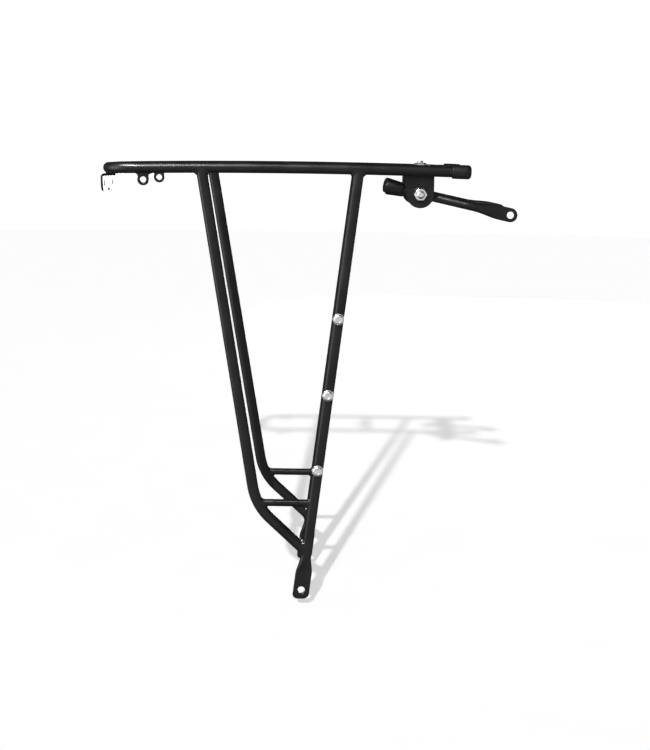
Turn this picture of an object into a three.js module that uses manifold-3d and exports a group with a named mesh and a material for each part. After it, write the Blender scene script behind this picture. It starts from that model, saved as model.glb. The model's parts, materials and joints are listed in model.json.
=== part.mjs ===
// Rear luggage rack for a touring bicycle, built from welded steel tube.
// Frame: X forward, Y to the rider's left, Z up, millimetres.
// The origin lies midway between the two foot holes, which bolt to the frame's dropout eyelets.

import * as THREE from "three";
import { mergeVertices } from "three/addons/utils/BufferGeometryUtils.js";
import Module from "manifold-3d";

const wasm = await Module();
wasm.setup();

// ---------------------------------------------------------------- driving dimensions

const GAP = 0.3;                    // clearance between neighbouring pieces
const ROUND_SIDES = 14;             // sides of a main tube

// deck
const DECK_HEIGHT = 384.4;          // tube centre above the foot holes, at the crown of the deck
const CROWN_X = -21;                // highest point of the slightly arched rails
const CAMBER = 0.75 / 100 ** 2;     // fall of the rails with the square of the distance from the crown
const RAIL_Y = 60;                  // half the distance between the rail centres
const TUBE_R = 5;                   // 10 mm main tube
const BORE_R = 3.8;                 // inside of the main tube
const REAR_END_X = -179.7;          // centre of the cross run at the back of the hoop
const HOOP_CORNER_R = 30;
const RAIL_TIP_X = 146;             // open front ends of the rails
const CROSS_TUBE_X = -20;

// legs
const FOOT_Y = 69.4;                // half the distance between the feet
const REAR_LEG_TOP_X = -93;
const REAR_LEG_KNEE = { x: -42.5, z: 79 };
const KNEE_BEND_R = 52;
const REAR_LEG_END_Z = 35.6;        // where the lower run meets the front leg
const FRONT_LEG_TOP_X = 47.7;
const BRACE_Z = 81.2;
const BRACE_R = 3.3;
const BRACE_BORE_R = 2.2;

// pressed feet
const FOOT_HALF_WIDTH = 7.6;
const FOOT_HALF_THICKNESS = 1.8;
const FOOT_PRESS_TOP = 31;          // height at which the tube starts to flatten
const FOOT_FLAT_TOP = 15;
const FOOT_BOTTOM = -8.4;
const FOOT_CORNER_R = 4.6;
const FOOT_HOLE_R = 3.3;

// accessory points on the front legs
const BOSS_LOWEST_Z = 112.5;
const BOSS_PITCH_Z = 69;
const BOSS_COUNT = 3;
const BOSS_R = 4.4;
const BOSS_BORE_R = 2.6;
const BOSS_PROUD = 1.3;
const ACCESSORY_WASHER_R = 5.1;
const ACCESSORY_WASHER_THICKNESS = 1;
const SCREW_HEAD_R = 4.5;
const SCREW_HEAD_HEIGHT = 3.2;
const SCREW_SHANK_R = 2.2;
const SCREW_LENGTH = 11;
const SCREW_SOCKET_FLATS = 4;
const SCREW_SOCKET_DEPTH = 2.2;

// luggage eyelets and the fender eyelet
const EYELET_R = 5.25;
const EYELET_HOLE_R = 2.75;
const EYELET_THICKNESS = 3;
const BUNGEE_EYELET_X = -144.7;

// tail light bracket
const BRACKET_THICKNESS = 2;
const BRACKET_REAR_X = -186.6;
const BRACKET_HALF_WIDTH = 36;
const BRACKET_BOTTOM_Z = 361.2;
const BRACKET_CORNER_R = 9;
const BRACKET_NOTCH_R = 9;          // shallow scallop between the two lobes
const BRACKET_NOTCH_DEPTH = 3;
const BRACKET_FLANGE_FRONT_X = -174.5;
const BRACKET_FLANGE_HALF_WIDTH = 28;
const LIGHT_HOLE_Y = 25;            // the 50 mm tail light pattern
const LIGHT_HOLE_Z = 368.3;
const LIGHT_HOLE_R = 2.75;

// stay bridge: the folded strip that carries the stays
const PIVOT_X = 102.8;
const PIVOT_Z = 362.1;
const BRIDGE_WIDTH = 24.6;          // along X
const BRIDGE_THICKNESS = 2.6;
const BRIDGE_TOP_Z = 383;
const BRIDGE_OUTER_Y = 54.7;        // outer faces of the two tabs
const BRIDGE_BEND_R = 4;
const SLOT_X = 105;
const SLOT_HALF_LENGTH = 25;
const SLOT_R = 3.3;
const PIVOT_HOLE_R = 3.3;

// M6 hardware
const M6_R = 3;
const M6_FLATS = 10;
const M6_NUT_HEIGHT = 5;
const M6_NUT_BORE_R = 3.3;
const M6_WASHER_R = 6;
const M6_WASHER_THICKNESS = 1.2;
const STAY_WASHER_R = 7;
const M6_HEAD_HEIGHT = 4;
const THREAD_SHOWING = 2;

// stays
const STAY_R = 4;
const STAY_BORE_R = 2.8;
const STAY_DROP = THREE.MathUtils.degToRad(12.2);   // nose-down slope in the rest position
const STAY_TOE = THREE.MathUtils.degToRad(14);      // outward splay of the straight run
const EYE_Y = 40.5;                 // the straight run crosses the pivot axis here
const STAY_REAR = -28;              // ends and bends, measured forward from the pivot
const STAY_BEND_AT = 46;
const STAY_BEND_R = 30;
const STAY_HOLE_AT = 83.1;
const STAY_PRESS_FROM = 50;
const STAY_FLAT_FROM = 74;
const STAY_END_R = 6.4;
const STAY_HALF_THICKNESS = 1.3;
const STAY_HOLE_R = 3.2;
const EYE_R = 7.4;
const EYE_HALF_WIDTH = 4;

// rubber caps
const RAIL_CAP_R = 6.3;
const RAIL_CAP_START_X = 130.6;
const RAIL_CAP_END_X = 147.5;
const STAY_CAP_LENGTH = 16.6;
const STAY_CAP_FRONT_R = 5.9;
const STAY_CAP_REAR_R = 7.2;

// ---------------------------------------------------------------- materials

const paint = { color: 0x0c0c0d, roughness: 0.28, metalness: 0.1 };
const zinc = { color: 0xc9ccd0, roughness: 0.3, metalness: 1 };
const rubber = { color: 0x111111, roughness: 0.75, metalness: 0 };

// ---------------------------------------------------------------- helpers

// The rails arch very slightly along their length.
function deckZ(x) {
  return DECK_HEIGHT - CAMBER * (x - CROWN_X) ** 2;
}

// Both legs of one side lie in a plane that spreads outward towards the vertical feet.
function sideY(z) {
  const spread = (FOOT_Y - RAIL_Y) / (DECK_HEIGHT - FOOT_FLAT_TOP);
  return FOOT_Y - spread * Math.max(0, z - FOOT_FLAT_TOP);
}

function sidePoint(x, z, side) {
  return new THREE.Vector3(x, side * sideY(z), z);
}

// A curve through chosen stations, which an extrusion follows one station at a time.
class StationCurve extends THREE.Curve {
  constructor(stations) {
    super();
    this.stations = stations;
  }

  get steps() {
    return this.stations.length - 1;
  }

  getPoint(t, target = new THREE.Vector3()) {
    const place = t * this.steps;
    const index = Math.min(Math.floor(place), this.steps - 1);
    return target.lerpVectors(this.stations[index], this.stations[index + 1], place - index);
  }

  getPointAt(u, target) {
    return this.getPoint(u, target);
  }

  getTangentAt(u, target = new THREE.Vector3()) {
    const index = Math.round(u * this.steps);
    const before = this.stations[Math.max(index - 1, 0)];
    const after = this.stations[Math.min(index + 1, this.steps)];
    return target.subVectors(after, before).normalize();
  }
}

function circleShape(radius, holeRadius = 0) {
  const shape = new THREE.Shape().absarc(0, 0, radius, 0, 2 * Math.PI);
  if (holeRadius > 0) {
    shape.holes.push(new THREE.Path().absarc(0, 0, holeRadius, 0, 2 * Math.PI, true));
  }
  return shape;
}

// Tube or rod along stations; a bore radius makes it hollow from end to end.
function sweep(stations, radius, boreRadius = 0, sides = ROUND_SIDES) {
  const path = new StationCurve(stations);
  const settings = { steps: path.steps, curveSegments: sides / 2, extrudePath: path };
  return new THREE.ExtrudeGeometry(circleShape(radius, boreRadius), settings);
}

// A cutting tube whose flats stay outside a round tube of the given radius.
function clearanceSweep(stations, radius) {
  const sides = 20;
  return sweep(stations, (radius + GAP) / Math.cos(Math.PI / sides), 0, sides);
}

// Points of an arc that rounds the corner between two straight runs.
function roundedCorner(before, corner, after, radius, steps) {
  const into = new THREE.Vector3().subVectors(before, corner).normalize();
  const out = new THREE.Vector3().subVectors(after, corner).normalize();
  const halfAngle = into.angleTo(out) / 2;
  const reach = radius / Math.tan(halfAngle);
  const middle = new THREE.Vector3().addVectors(into, out).normalize();
  const centre = corner.clone().addScaledVector(middle, radius / Math.sin(halfAngle));
  const start = corner.clone().addScaledVector(into, reach).sub(centre);
  const end = corner.clone().addScaledVector(out, reach).sub(centre);
  const axis = new THREE.Vector3().crossVectors(start, end).normalize();
  const turn = start.angleTo(end);
  const points = [];
  for (let i = 0; i <= steps; i += 1) {
    points.push(start.clone().applyAxisAngle(axis, (turn * i) / steps).add(centre));
  }
  return points;
}

function toSolid(geometry) {
  const bare = geometry.clone();
  bare.deleteAttribute("normal");
  bare.deleteAttribute("uv");
  const merged = mergeVertices(bare, 1e-4);
  const vertProperties = new Float32Array(merged.attributes.position.array);
  const triVerts = new Uint32Array(merged.index.array);
  return new wasm.Manifold(new wasm.Mesh({ numProp: 3, vertProperties, triVerts }));
}

function toGeometry(solid) {
  const mesh = solid.getMesh();
  const geometry = new THREE.BufferGeometry();
  geometry.setAttribute("position", new THREE.BufferAttribute(mesh.vertProperties, 3));
  geometry.setIndex(new THREE.BufferAttribute(mesh.triVerts, 1));
  return geometry;
}

// Base geometry with others joined to it and further ones cut away.
function combine(base, joined, removed) {
  let solid = toSolid(base);
  for (const geometry of joined) {
    solid = solid.add(toSolid(geometry));
  }
  for (const geometry of removed) {
    solid = solid.subtract(toSolid(geometry));
  }
  return toGeometry(solid);
}

// Turned solid about Z from [radius, height] pairs that start and end on the axis.
function turned(profile, sides) {
  const points = profile.map(([radius, height]) => new THREE.Vector2(radius, height));
  const geometry = new THREE.LatheGeometry(points, sides);
  return geometry.rotateX(Math.PI / 2);
}

function plainRod(radius, bottom, top, sides) {
  return turned([[0, bottom], [radius, bottom], [radius, top], [0, top]], sides);
}

// Flat ring about Z from bottom to top; its section closes on itself.
function ring(innerRadius, outerRadius, bottom, top, sides) {
  const section = [
    [innerRadius, bottom],
    [outerRadius, bottom],
    [outerRadius, top],
    [innerRadius, top],
    [innerRadius, bottom],
  ];
  return turned(section, sides);
}

// Hexagonal prism about Z, with flats facing +Y and -Y.
function hexPrism(acrossFlats, bottom, top) {
  const radius = acrossFlats / Math.sqrt(3);
  const shape = new THREE.Shape();
  for (let i = 0; i < 6; i += 1) {
    const angle = (Math.PI / 3) * i;
    const x = radius * Math.cos(angle);
    const y = radius * Math.sin(angle);
    if (i === 0) {
      shape.moveTo(x, y);
    } else {
      shape.lineTo(x, y);
    }
  }
  shape.closePath();
  const geometry = new THREE.ExtrudeGeometry(shape, { depth: top - bottom, bevelEnabled: false });
  return geometry.translate(0, 0, bottom);
}

function hexNut(bottom) {
  const top = bottom + M6_NUT_HEIGHT;
  const bore = plainRod(M6_NUT_BORE_R, bottom - 1, top + 1, 16);
  return combine(hexPrism(M6_FLATS, bottom, top), [], [bore]);
}

// Turns a piece made about Z so that its top faces outward along side * Y.
function faceOutward(geometry, side) {
  return geometry.rotateX(side > 0 ? -Math.PI / 2 : Math.PI / 2);
}

// 0 in the round tube, rising smoothly to 1 in the pressed foot.
function footFlatness(z) {
  return 1 - THREE.MathUtils.smoothstep(z, FOOT_FLAT_TOP, FOOT_PRESS_TOP);
}

// ---------------------------------------------------------------- deck

function railStations(side, xValues) {
  return xValues.map((x) => new THREE.Vector3(x, side * RAIL_Y, deckZ(x)));
}

function hoopCornerStations(side) {
  const along = new THREE.Vector3(0, side * RAIL_Y, 0);
  const corner = new THREE.Vector3(REAR_END_X, side * RAIL_Y, 0);
  const across = new THREE.Vector3(REAR_END_X, 0, 0);
  const arc = roundedCorner(along, corner, across, HOOP_CORNER_R, 6);
  return arc.map((point) => point.setZ(deckZ(point.x)));
}

function deckHoop() {
  const xValues = [RAIL_TIP_X, 62, CROWN_X, -100];
  const right = [...railStations(-1, xValues), ...hoopCornerStations(-1)];
  const left = [...railStations(1, xValues), ...hoopCornerStations(1)].reverse();
  return sweep([...right, ...left], TUBE_R, BORE_R);
}

function railCutter(side) {
  return clearanceSweep(railStations(side, [190, RAIL_TIP_X, 62, CROWN_X, -100, -149]), TUBE_R);
}

function midCrossTube() {
  const z = deckZ(CROSS_TUBE_X);
  const ends = [-1, 1].map((side) => new THREE.Vector3(CROSS_TUBE_X, side * RAIL_Y, z));
  return combine(sweep(ends, TUBE_R, BORE_R), [], [railCutter(-1), railCutter(1)]);
}

// ---------------------------------------------------------------- legs

function rearLegStations(side) {
  const frontLegX = FRONT_LEG_TOP_X * (REAR_LEG_END_Z / deckZ(FRONT_LEG_TOP_X));
  const top = sidePoint(REAR_LEG_TOP_X, deckZ(REAR_LEG_TOP_X), side);
  const knee = sidePoint(REAR_LEG_KNEE.x, REAR_LEG_KNEE.z, side);
  const end = sidePoint(frontLegX, REAR_LEG_END_Z, side);
  return [top, ...roundedCorner(top, knee, end, KNEE_BEND_R, 5), end];
}

function frontLegStations(side) {
  const top = sidePoint(FRONT_LEG_TOP_X, deckZ(FRONT_LEG_TOP_X), side);
  const bottom = sidePoint(FRONT_LEG_TOP_X * 0.05, deckZ(FRONT_LEG_TOP_X) * 0.05, side);
  return [top, bottom];
}

function rearLeg(side) {
  const cutters = [railCutter(side), clearanceSweep(frontLegStations(side), TUBE_R)];
  return combine(sweep(rearLegStations(side), TUBE_R, BORE_R), [], cutters);
}

function legBrace(side) {
  const rearX = REAR_LEG_KNEE.x;
  const frontX = FRONT_LEG_TOP_X * (BRACE_Z / deckZ(FRONT_LEG_TOP_X));
  const ends = [sidePoint(rearX, BRACE_Z, side), sidePoint(frontX, BRACE_Z, side)];
  const cutters = [rearLegStations(side), frontLegStations(side)].map((stations) =>
    clearanceSweep(stations, TUBE_R)
  );
  return combine(sweep(ends, BRACE_R, BRACE_BORE_R, 12), [], cutters);
}

// Half width of the pressed foot, which narrows through rounded corners at its lower end.
function footHalfWidth(z) {
  const cornerTop = FOOT_BOTTOM + FOOT_CORNER_R;
  const below = Math.max(0, cornerTop - z);
  const inset = FOOT_CORNER_R - Math.sqrt(Math.max(0, FOOT_CORNER_R ** 2 - below ** 2));
  return THREE.MathUtils.lerp(TUBE_R, FOOT_HALF_WIDTH, footFlatness(z)) - inset;
}

// The straight leg, pressed flat at the foot, still upright and centred on Z.
function uprightLeg(height) {
  const press = [FOOT_PRESS_TOP, 27, 23, 19, FOOT_FLAT_TOP, FOOT_BOTTOM + FOOT_CORNER_R];
  const corner = [0.35, 0.65, 0.87, 1].map((part) => FOOT_BOTTOM + FOOT_CORNER_R * (1 - part));
  const rings = [...corner.reverse(), ...press.reverse(), height];
  const geometry = turned(
    [[0, rings[0]], ...rings.map((z) => [TUBE_R, z]), [0, height]],
    ROUND_SIDES
  );
  const position = geometry.attributes.position;
  for (let i = 0; i < position.count; i += 1) {
    const z = position.getZ(i);
    const limit = THREE.MathUtils.lerp(TUBE_R, FOOT_HALF_THICKNESS, footFlatness(z));
    position.setX(i, position.getX(i) * (footHalfWidth(z) / TUBE_R));
    position.setY(i, THREE.MathUtils.clamp(position.getY(i), -limit, limit));
  }
  return geometry;
}

// Leans the leg forward and spreads it to its side above the vertical foot.
function setLegInPlace(geometry, side) {
  const lean = FRONT_LEG_TOP_X / deckZ(FRONT_LEG_TOP_X);
  const position = geometry.attributes.position;
  for (let i = 0; i < position.count; i += 1) {
    const z = position.getZ(i);
    position.setX(i, position.getX(i) + lean * z);
    position.setY(i, position.getY(i) + side * sideY(z));
  }
  return geometry;
}

function bossPlace(index, side) {
  const z = BOSS_LOWEST_Z + BOSS_PITCH_Z * index;
  const x = FRONT_LEG_TOP_X * (z / deckZ(FRONT_LEG_TOP_X));
  return new THREE.Vector3(x, side * sideY(z), z);
}

function bossHole(index, side) {
  const hole = faceOutward(plainRod(BOSS_R + GAP, -9, 9, 14), side);
  return hole.translate(...bossPlace(index, side).toArray());
}

function frontLeg(side) {
  const height = deckZ(FRONT_LEG_TOP_X);
  const bore = setLegInPlace(plainRod(BORE_R, FOOT_PRESS_TOP + 9, height + 1, 12), side);
  const footHole = plainRod(FOOT_HOLE_R, -9, 9, 20).rotateX(Math.PI / 2);
  footHole.translate(0, side * FOOT_Y, 0);
  const bossHoles = Array.from({ length: BOSS_COUNT }, (_, index) => bossHole(index, side));
  const cutters = [bore, footHole, railCutter(side), ...bossHoles];
  return combine(setLegInPlace(uprightLeg(height), side), [], cutters);
}

// ---------------------------------------------------------------- accessory points

function accessoryBoss() {
  return ring(BOSS_BORE_R, BOSS_R, -TUBE_R, TUBE_R + BOSS_PROUD, 14);
}

function accessoryWasher() {
  const bottom = TUBE_R + BOSS_PROUD + GAP;
  return ring(BOSS_BORE_R, ACCESSORY_WASHER_R, bottom, bottom + ACCESSORY_WASHER_THICKNESS, 16);
}

// Button-head screw with a hexagon socket, on the washer and in the boss.
function accessoryScrew() {
  const seat = TUBE_R + BOSS_PROUD + ACCESSORY_WASHER_THICKNESS + 2 * GAP;
  const top = seat + SCREW_HEAD_HEIGHT;
  const profile = [
    [0, seat - SCREW_LENGTH],
    [SCREW_SHANK_R, seat - SCREW_LENGTH],
    [SCREW_SHANK_R, seat],
    [SCREW_HEAD_R, seat],
    [SCREW_HEAD_R, seat + 0.5 * SCREW_HEAD_HEIGHT],
    [0.9 * SCREW_HEAD_R, seat + 0.85 * SCREW_HEAD_HEIGHT],
    [0.75 * SCREW_HEAD_R, top],
    [0, top],
  ];
  const socket = hexPrism(SCREW_SOCKET_FLATS, top - SCREW_SOCKET_DEPTH, top + 1);
  return combine(turned(profile, 14), [], [socket]);
}

// ---------------------------------------------------------------- eyelets and light bracket

function bungeeEyelet(side) {
  const geometry = ring(EYELET_HOLE_R, EYELET_R, -EYELET_THICKNESS / 2, EYELET_THICKNESS / 2, 16);
  const z = deckZ(BUNGEE_EYELET_X) - TUBE_R - GAP - EYELET_R;
  return geometry.rotateX(Math.PI / 2).translate(BUNGEE_EYELET_X, side * RAIL_Y, z);
}

function fenderEyelet() {
  const geometry = ring(EYELET_HOLE_R, EYELET_R, -EYELET_THICKNESS / 2, EYELET_THICKNESS / 2, 16);
  return geometry.translate(CROSS_TUBE_X - TUBE_R - GAP - EYELET_R, 0, deckZ(CROSS_TUBE_X));
}

// Rear face of the bracket: rounded lower corners and a scallop between its two lobes.
function bracketOutline(top) {
  const side = BRACKET_HALF_WIDTH;
  const bottom = BRACKET_BOTTOM_Z;
  const corner = BRACKET_CORNER_R;
  const scallopHalf = Math.sqrt(BRACKET_NOTCH_R ** 2 - (BRACKET_NOTCH_R - BRACKET_NOTCH_DEPTH) ** 2);
  const scallopAngle = Math.asin(scallopHalf / BRACKET_NOTCH_R);
  const scallopCentre = bottom + BRACKET_NOTCH_DEPTH - BRACKET_NOTCH_R;
  const shape = new THREE.Shape();
  shape.moveTo(side, top);
  shape.lineTo(-side, top);
  shape.absarc(-side + corner, bottom + corner, corner, Math.PI, 1.5 * Math.PI);
  const up = Math.PI / 2;
  shape.absarc(0, scallopCentre, BRACKET_NOTCH_R, up + scallopAngle, up - scallopAngle, true);
  shape.absarc(side - corner, bottom + corner, corner, 1.5 * Math.PI, 2 * Math.PI);
  shape.closePath();
  for (const y of [-LIGHT_HOLE_Y, LIGHT_HOLE_Y]) {
    shape.holes.push(new THREE.Path().absarc(y, LIGHT_HOLE_Z, LIGHT_HOLE_R, 0, 2 * Math.PI, true));
  }
  return shape;
}

// Puts a shape drawn in (Y, Z) upright and extrudes it forward along X.
function uprightPlate(shape, thickness, rearX, curveSegments) {
  const settings = { depth: thickness, bevelEnabled: false, curveSegments };
  const geometry = new THREE.ExtrudeGeometry(shape, settings);
  return geometry.rotateX(Math.PI / 2).rotateZ(Math.PI / 2).translate(rearX, 0, 0);
}

// L-shaped bracket: its flange lies under the rear of the hoop, its face hangs behind it.
function lightBracket() {
  const top = deckZ(REAR_END_X) - TUBE_R - GAP;
  const face = uprightPlate(bracketOutline(top), BRACKET_THICKNESS, BRACKET_REAR_X, 6);
  const depth = BRACKET_FLANGE_FRONT_X - BRACKET_REAR_X;
  const flange = new THREE.BoxGeometry(depth, 2 * BRACKET_FLANGE_HALF_WIDTH, BRACKET_THICKNESS);
  flange.translate(BRACKET_REAR_X + depth / 2, 0, top - BRACKET_THICKNESS / 2);
  return combine(face, [flange], []);
}

// ---------------------------------------------------------------- stay bridge

// Section of the folded strip, drawn in (Y, Z) from one tab over the top to the other.
function bridgeSection(inset) {
  const half = BRIDGE_OUTER_Y - inset;
  const top = BRIDGE_TOP_Z - inset;
  const bend = BRIDGE_BEND_R - inset;
  const shape = new THREE.Shape();
  const bottom = PIVOT_Z - BRIDGE_WIDTH;
  shape.moveTo(-half, bottom);
  shape.lineTo(half, bottom);
  shape.absarc(half - bend, top - bend, bend, 0, Math.PI / 2);
  shape.absarc(-half + bend, top - bend, bend, Math.PI / 2, Math.PI);
  shape.closePath();
  return shape;
}

// Profile that rounds the tabs, seen from the side: straight down, then a half circle.
function tabProfile() {
  const half = BRIDGE_WIDTH / 2;
  const shape = new THREE.Shape();
  shape.moveTo(half, BRIDGE_TOP_Z + 5);
  shape.lineTo(-half, BRIDGE_TOP_Z + 5);
  shape.absarc(0, PIVOT_Z, half, Math.PI, 2 * Math.PI);
  shape.closePath();
  shape.holes.push(new THREE.Path().absarc(0, PIVOT_Z, PIVOT_HOLE_R, 0, 2 * Math.PI, true));
  const settings = { depth: 2 * RAIL_Y, bevelEnabled: false, curveSegments: 9 };
  const geometry = new THREE.ExtrudeGeometry(shape, settings);
  return geometry.rotateX(Math.PI / 2).translate(PIVOT_X, RAIL_Y, 0);
}

function slotCutter() {
  const shape = new THREE.Shape();
  const straight = SLOT_HALF_LENGTH - SLOT_R;
  shape.absarc(SLOT_X, straight, SLOT_R, 0, Math.PI);
  shape.absarc(SLOT_X, -straight, SLOT_R, Math.PI, 2 * Math.PI);
  shape.closePath();
  const settings = { depth: 20, bevelEnabled: false, curveSegments: 5 };
  return new THREE.ExtrudeGeometry(shape, settings).translate(0, 0, BRIDGE_TOP_Z - 10);
}

function stayBridge() {
  const rearX = PIVOT_X - BRIDGE_WIDTH / 2;
  const outer = uprightPlate(bridgeSection(0), BRIDGE_WIDTH, rearX, 4);
  const inner = uprightPlate(bridgeSection(BRIDGE_THICKNESS), BRIDGE_WIDTH + 2, rearX - 1, 4);
  const strip = toSolid(outer).subtract(toSolid(inner)).intersect(toSolid(tabProfile()));
  const bridge = strip.subtract(toSolid(slotCutter()));
  return combine(toGeometry(bridge), [], [railCutter(-1), railCutter(1)]);
}

// ---------------------------------------------------------------- fender bolt on the bridge

const BRIDGE_UNDERSIDE_Z = BRIDGE_TOP_Z - BRIDGE_THICKNESS;
const FENDER_NUT_Z = BRIDGE_TOP_Z + M6_WASHER_THICKNESS + 2 * GAP;

function fenderBolt() {
  const seat = BRIDGE_UNDERSIDE_Z - M6_WASHER_THICKNESS - 2 * GAP;
  const tip = FENDER_NUT_Z + M6_NUT_HEIGHT + THREAD_SHOWING;
  const head = hexPrism(M6_FLATS, seat - M6_HEAD_HEIGHT, seat);
  return combine(head, [plainRod(M6_R, seat - 1, tip, 16)], []).translate(SLOT_X, 0, 0);
}

function fenderWasher(bottom) {
  const top = bottom + M6_WASHER_THICKNESS;
  return ring(M6_NUT_BORE_R, M6_WASHER_R, bottom, top, 16).translate(SLOT_X, 0, 0);
}

// ---------------------------------------------------------------- stays and their clamps

// Places a piece drawn about the pivot (X along the stay's slope) onto the rack.
function setAtPivot(geometry, side) {
  return geometry.rotateY(STAY_DROP).translate(PIVOT_X, side * EYE_Y, PIVOT_Z);
}

function stayStations(side) {
  const toe = Math.tan(STAY_TOE);
  const rear = new THREE.Vector3(STAY_REAR, side * STAY_REAR * toe, 0);
  const bend = new THREE.Vector3(STAY_BEND_AT, side * STAY_BEND_AT * toe, 0);
  const tip = new THREE.Vector3(STAY_HOLE_AT + STAY_END_R, bend.y, 0);
  const bendArc = roundedCorner(rear, bend, tip, STAY_BEND_R, 4);
  const pressed = [56, 60, 64, 68, STAY_FLAT_FROM, STAY_HOLE_AT];
  const roundEnd = [20, 40, 60, 75, 84].map((degrees) => {
    return STAY_HOLE_AT + STAY_END_R * Math.sin(THREE.MathUtils.degToRad(degrees));
  });
  const straight = [...pressed, ...roundEnd].map((x) => new THREE.Vector3(x, bend.y, 0));
  return [rear, ...bendArc, ...straight];
}

// Rod with its front end pressed flat, rounded around the hole.
function stay(side) {
  const stations = stayStations(side);
  const geometry = sweep(stations, STAY_R, 0, 14);
  const endY = stations[stations.length - 1].y;
  const position = geometry.attributes.position;
  for (let i = 0; i < position.count; i += 1) {
    const x = position.getX(i);
    const flatness = THREE.MathUtils.smoothstep(x, STAY_PRESS_FROM, STAY_FLAT_FROM);
    const beyond = Math.max(0, x - STAY_HOLE_AT);
    const roundedHalf = Math.sqrt(Math.max(0, STAY_END_R ** 2 - beyond ** 2));
    const halfWidth = THREE.MathUtils.lerp(STAY_R, roundedHalf, flatness);
    const limit = THREE.MathUtils.lerp(STAY_R, STAY_HALF_THICKNESS, flatness);
    if (flatness > 0) {
      const offset = THREE.MathUtils.clamp(position.getY(i) - endY, -limit, limit);
      position.setY(i, endY + offset);
      position.setZ(i, position.getZ(i) * (halfWidth / STAY_R));
    }
  }
  const hole = plainRod(STAY_HOLE_R, -20, 20, 18).rotateX(Math.PI / 2);
  hole.translate(STAY_HOLE_AT, endY, 0);
  const bore = plainRod(STAY_BORE_R, STAY_REAR - 8, STAY_BEND_AT - 12, 10).rotateY(Math.PI / 2);
  bore.rotateZ(side * STAY_TOE);
  return setAtPivot(combine(geometry, [], [hole, bore]), side);
}

// Eye that the stay slides through, on an M6 shank that passes through the tab.
function eyebolt(side) {
  const tip = BRIDGE_OUTER_Y - EYE_Y + M6_WASHER_THICKNESS + 2 * GAP + M6_NUT_HEIGHT + THREAD_SHOWING;
  const barrel = plainRod(EYE_R, -EYE_HALF_WIDTH, EYE_HALF_WIDTH, 20).rotateY(Math.PI / 2);
  const hole = plainRod((STAY_R + GAP) / Math.cos(Math.PI / 20), -20, 20, 20).rotateY(Math.PI / 2);
  const shank = faceOutward(plainRod(M6_R, EYE_R - 2, tip, 16), side);
  const geometry = combine(barrel.rotateZ(side * STAY_TOE), [shank], [hole.rotateZ(side * STAY_TOE)]);
  return setAtPivot(geometry, side);
}

// Clamp pieces are drawn about Z, measured outward from the middle of the eye.
function staySpacer() {
  const start = EYE_R + GAP + 0.4;
  const end = BRIDGE_OUTER_Y - BRIDGE_THICKNESS - EYE_Y - GAP;
  return ring(M6_NUT_BORE_R, M6_WASHER_R, start, end, 16);
}

function stayWasher() {
  const start = BRIDGE_OUTER_Y - EYE_Y + GAP;
  return ring(M6_NUT_BORE_R, STAY_WASHER_R, start, start + M6_WASHER_THICKNESS, 16);
}

function stayNut() {
  return hexNut(BRIDGE_OUTER_Y - EYE_Y + M6_WASHER_THICKNESS + 2 * GAP);
}

function clampPiece(geometry, side) {
  const turnedOut = faceOutward(geometry, side);
  return turnedOut.translate(PIVOT_X, side * EYE_Y, PIVOT_Z);
}

// ---------------------------------------------------------------- rubber caps

function railEndCap(side) {
  const length = RAIL_CAP_END_X - RAIL_CAP_START_X;
  const floor = RAIL_TIP_X - RAIL_CAP_START_X + GAP;
  const profile = [
    [0, floor],
    [TUBE_R + GAP, floor],
    [TUBE_R + GAP, 0],
    [RAIL_CAP_R - 0.3, 0],
    [RAIL_CAP_R, 0.5],
    [RAIL_CAP_R, length - 2.2],
    [RAIL_CAP_R - 0.7, length - 0.9],
    [RAIL_CAP_R - 2, length - 0.2],
    [0, length],
  ];
  const slope = Math.atan2(deckZ(RAIL_CAP_END_X) - deckZ(RAIL_CAP_START_X), length);
  const geometry = turned(profile, 16).rotateY(Math.PI / 2 - slope);
  return geometry.translate(RAIL_CAP_START_X, side * RAIL_Y, deckZ(RAIL_CAP_START_X));
}

// Flared cap on the rear end of a stay, thicker towards the back.
function stayEndCap(side) {
  const front = STAY_CAP_LENGTH - 2.4;
  const profile = [
    [0, -2.4],
    [STAY_CAP_REAR_R - 1, -2.4],
    [STAY_CAP_REAR_R, -1.4],
    [STAY_CAP_FRONT_R, front],
    [STAY_R + GAP, front],
    [STAY_R + GAP, -GAP],
    [0, -GAP],
  ];
  const geometry = turned(profile, 16).rotateY(Math.PI / 2).rotateZ(side * STAY_TOE);
  const place = stayStations(side)[0];
  return setAtPivot(geometry.translate(place.x, place.y, 0), side);
}

// ---------------------------------------------------------------- assembly

const rack = new THREE.Group();

function addPiece(name, geometry, look) {
  const mesh = new THREE.Mesh(geometry, new THREE.MeshStandardMaterial(look));
  mesh.name = name;
  rack.add(mesh);
  return mesh;
}

function addAccessoryPoint(sideName, side, index) {
  const place = bossPlace(index, side);
  const pieces = [
    ["accessory_boss", accessoryBoss(), paint],
    ["accessory_washer", accessoryWasher(), zinc],
    ["accessory_screw", accessoryScrew(), zinc],
  ];
  for (const [name, geometry, look] of pieces) {
    const mesh = addPiece(`${sideName}_${name}_${index + 1}`, faceOutward(geometry, side), look);
    mesh.position.copy(place);
  }
}

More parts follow.
